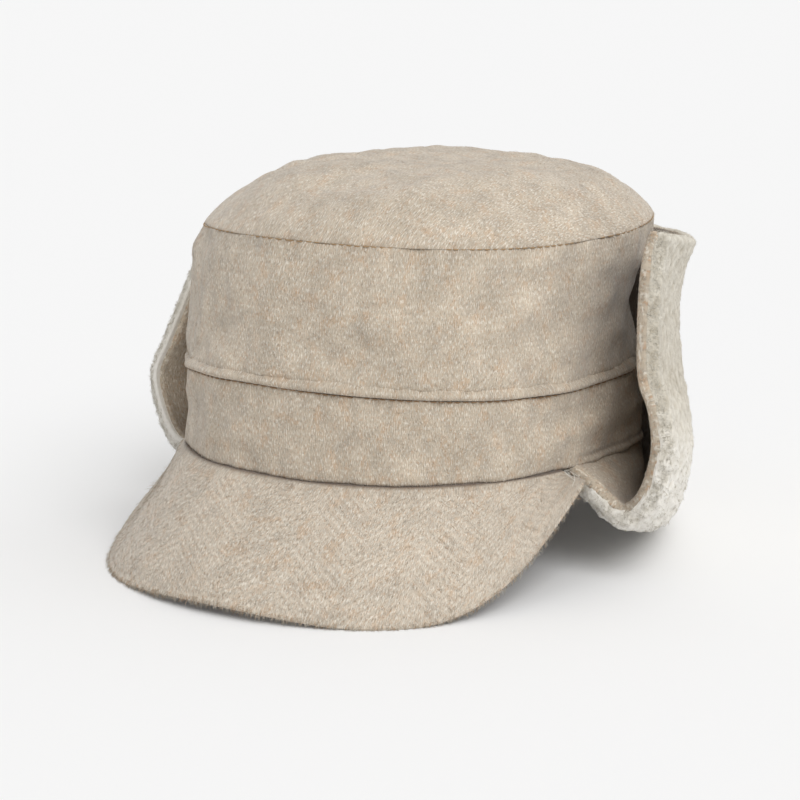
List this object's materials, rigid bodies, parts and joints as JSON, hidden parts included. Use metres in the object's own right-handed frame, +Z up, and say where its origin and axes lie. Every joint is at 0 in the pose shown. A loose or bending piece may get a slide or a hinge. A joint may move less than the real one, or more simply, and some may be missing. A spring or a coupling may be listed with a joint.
{
  "type": "captain cap",
  "caption": "Soft wool captain cap with a domed top, a welted band, a short drooping peak and a deep fleece-backed flap folded up round the back.",
  "frame": {"origin": "on the surface the cap rests on, under the middle of its bounding box", "axes": "+Z up, -Y toward the front of the peak, +X the wearer's left"},
  "size_m": [0.2572, 0.2684, 0.1594],
  "materials": {
    "crown_wool": "brushed heather melton wool, matt with a short nap",
    "peak_wool": "the same wool with a faint herringbone, over a stiff board",
    "flap_wool": "brushed heather melton wool",
    "flap_fleece": "curly off-white sherpa pile"
  },
  "bodies": {
    "root": {"top_panel": "crown_wool", "side_panel": "crown_wool", "welt": "crown_wool", "band": "crown_wool", "peak": "peak_wool", "flap_shell": "flap_wool", "flap_fleece": "flap_fleece"}
  },
  "joints": []
}
